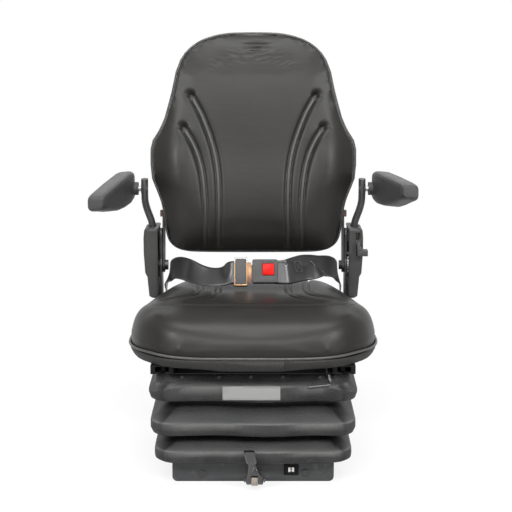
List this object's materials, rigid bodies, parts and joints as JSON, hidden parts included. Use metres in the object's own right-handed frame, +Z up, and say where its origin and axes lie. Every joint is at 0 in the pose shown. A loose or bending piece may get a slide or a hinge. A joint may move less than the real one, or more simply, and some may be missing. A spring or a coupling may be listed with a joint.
{
  "type": "tractor suspension seat",
  "caption": "Padded vinyl work seat on a scissor suspension inside folded rubber bellows, with slide rails, reclining back, folding armrests and a lap belt.",
  "frame": {"origin": "middle of the four floor bolt holes, on the underside of the base tray", "axes": "+Z up, the sitter faces -Y, +X to the right of a viewer who looks at the front"},
  "size_m": [0.6456, 0.5182, 0.8593],
  "materials": {
    "dark_paint": "satin",
    "steel_grey": "satin",
    "zinc_yellow": "zinc plated and yellow passivated",
    "black_plastic": "matt",
    "cover_plastic": "fine grained satin",
    "grey_nylon": "smooth",
    "bellows_rubber": "moulded grain",
    "vinyl_black": "soft sheen",
    "pad_black": "matt, integral skin foam",
    "webbing_black": "woven",
    "button_red": "gloss",
    "scale_white": "plain",
    "pointer_orange": "plain",
    "handle_zinc": "cast zinc, dull",
    "bright_steel": "polished"
  },
  "bodies": {
    "base": {"base_tray": "dark_paint", "lower_channels": "steel_grey", "front_plugs": "black_plastic", "indicator_bezel": "black_plastic", "indicator_scale": "scale_white", "lower_pivot_shaft": "bright_steel", "bellows": "bellows_rubber", "tension_springs": "steel_grey", "damper_tube": "dark_paint"},
    "weight_pointer": {"weight_pointer": "pointer_orange"},
    "spring_bar": {"spring_bar": "dark_paint"},
    "adjuster": {"adjuster_spindle": "handle_zinc", "handle_pin": "bright_steel"},
    "adjuster_handle": {"adjuster_handle": "handle_zinc"},
    "outer_arms": {"outer_scissor_frame": "dark_paint", "centre_pivot_pins": "bright_steel"},
    "upper_rollers": {"upper_rollers": "grey_nylon"},
    "inner_arms": {"inner_scissor_frame": "dark_paint"},
    "lower_rollers": {"lower_rollers": "grey_nylon"},
    "upper_frame": {"upper_frame_plate": "dark_paint", "upper_pivot_shaft": "bright_steel", "bellows_clips": "black_plastic", "lower_rails": "steel_grey", "rail_glides": "grey_nylon", "damper_rod": "bright_steel"},
    "seat": {"upper_rails": "dark_paint", "rail_end_caps": "black_plastic", "seat_pan": "dark_paint", "cushion": "vinyl_black", "cushion_trim": "vinyl_black", "hinge_bracket_left": "dark_paint", "hinge_bracket_right": "dark_paint", "bracket_bolts": "zinc_yellow", "side_cover_left": "cover_plastic", "side_cover_right": "cover_plastic", "recliner_gate": "steel_grey", "pivot_bolts": "zinc_yellow", "armrest_posts": "dark_paint", "armrest_pins": "steel_grey", "belt_anchors": "zinc_yellow", "belt_left": "webbing_black", "belt_tongue": "zinc_yellow", "tongue_cover": "black_plastic", "buckle_housing": "black_plastic", "belt_right": "webbing_black"},
    "recline_lever": {"recline_lever": "black_plastic"},
    "slide_lever": {"slide_lever": "dark_paint"},
    "armrest_left": {"armrest_left": "pad_black"},
    "armrest_right": {"armrest_right": "pad_black"},
    "red_button": {"red_button": "button_red"},
    "backrest": {"back_arm_left": "steel_grey", "back_arm_right": "steel_grey", "back_bolts": "zinc_yellow", "recliner_sector": "steel_grey", "backrest_shell": "cover_plastic", "backrest_cushion": "vinyl_black", "backrest_piping": "vinyl_black"}
  },
  "joints": [
    {"name": "suspension_travel", "type": "slide", "parent": "base", "child": "upper_frame", "axis": [0, 0, 1], "range_m": [-0.06, 0], "stiffness_N_per_m": 9000, "springref_m": 0.06, "deforming": ["bellows", "tension_springs"]},
    {"name": "outer_arms_pivot", "type": "hinge", "parent": "base", "child": "outer_arms", "pos_m": [0, 0.127, 0.022], "axis": [1, 0, 0], "range_deg": [0, 15.8]},
    {"name": "inner_arms_pivot", "type": "hinge", "parent": "upper_frame", "child": "inner_arms", "pos_m": [0, 0.127, 0.2], "axis": [1, 0, 0], "range_deg": [-15.8, 0]},
    {"name": "upper_roller_spin", "type": "hinge", "parent": "outer_arms", "child": "upper_rollers", "pos_m": [0, -0.07602, 0.2], "axis": [1, 0, 0], "continuous": true},
    {"name": "lower_roller_spin", "type": "hinge", "parent": "inner_arms", "child": "lower_rollers", "pos_m": [0, -0.07602, 0.022], "axis": [1, 0, 0], "continuous": true},
    {"name": "adjuster_spin", "type": "hinge", "parent": "base", "child": "adjuster", "pos_m": [0.003, 0, 0.022], "axis": [0, 1, 0], "range_deg": [-2160, 2160]},
    {"name": "handle_fold", "type": "hinge", "parent": "adjuster", "child": "adjuster_handle", "pos_m": [0.003, -0.187, 0.022], "axis": [1, 0, 0], "range_deg": [0, 90]},
    {"name": "spring_bar_travel", "type": "slide", "parent": "base", "child": "spring_bar", "axis": [0, 1, 0], "range_m": [-0.0125, 0.0125]},
    {"name": "weight_pointer_travel", "type": "slide", "parent": "base", "child": "weight_pointer", "axis": [1, 0, 0], "range_m": [-0.0055, 0.0055]},
    {"name": "seat_slide", "type": "slide", "parent": "upper_frame", "child": "seat", "axis": [0, 1, 0], "range_m": [-0.09, 0.045]},
    {"name": "slide_lever_lift", "type": "hinge", "parent": "seat", "child": "slide_lever", "pos_m": [0.142, -0.1, 0.235], "axis": [-1, 0, 0], "range_deg": [0, 3.5], "stiffness_Nm_per_rad": 4, "springref_deg": -8.59},
    {"name": "recline", "type": "hinge", "parent": "seat", "child": "backrest", "pos_m": [0, 0.2, 0.365], "axis": [1, 0, 0], "range_deg": [-20, 20]},
    {"name": "recline_lever_lift", "type": "hinge", "parent": "seat", "child": "recline_lever", "pos_m": [0.215, 0.188, 0.392], "axis": [-1, 0, 0], "range_deg": [0, 15], "stiffness_Nm_per_rad": 0.8, "springref_deg": -11.46},
    {"name": "armrest_left_fold", "type": "hinge", "parent": "seat", "child": "armrest_left", "pos_m": [-0.253, 0.2, 0.531], "axis": [-1, 0, 0], "range_deg": [0, 90]},
    {"name": "armrest_right_fold", "type": "hinge", "parent": "seat", "child": "armrest_right", "pos_m": [0.253, 0.2, 0.531], "axis": [-1, 0, 0], "range_deg": [0, 90]},
    {"name": "button_press", "type": "slide", "parent": "seat", "child": "red_button", "axis": [0, 0.9397, -0.342], "range_m": [0, 0.004], "stiffness_N_per_m": 500, "springref_m": -0.003}
  ],
  "couplings": [
    {"joint": "outer_arms_pivot", "follows": "suspension_travel", "rad_per_m": -4.52},
    {"joint": "inner_arms_pivot", "follows": "suspension_travel", "rad_per_m": 4.52},
    {"joint": "spring_bar_travel", "follows": "adjuster_spin", "m_per_rad": 0.000318},
    {"joint": "weight_pointer_travel", "follows": "adjuster_spin", "m_per_rad": 0.00013}
  ]
}
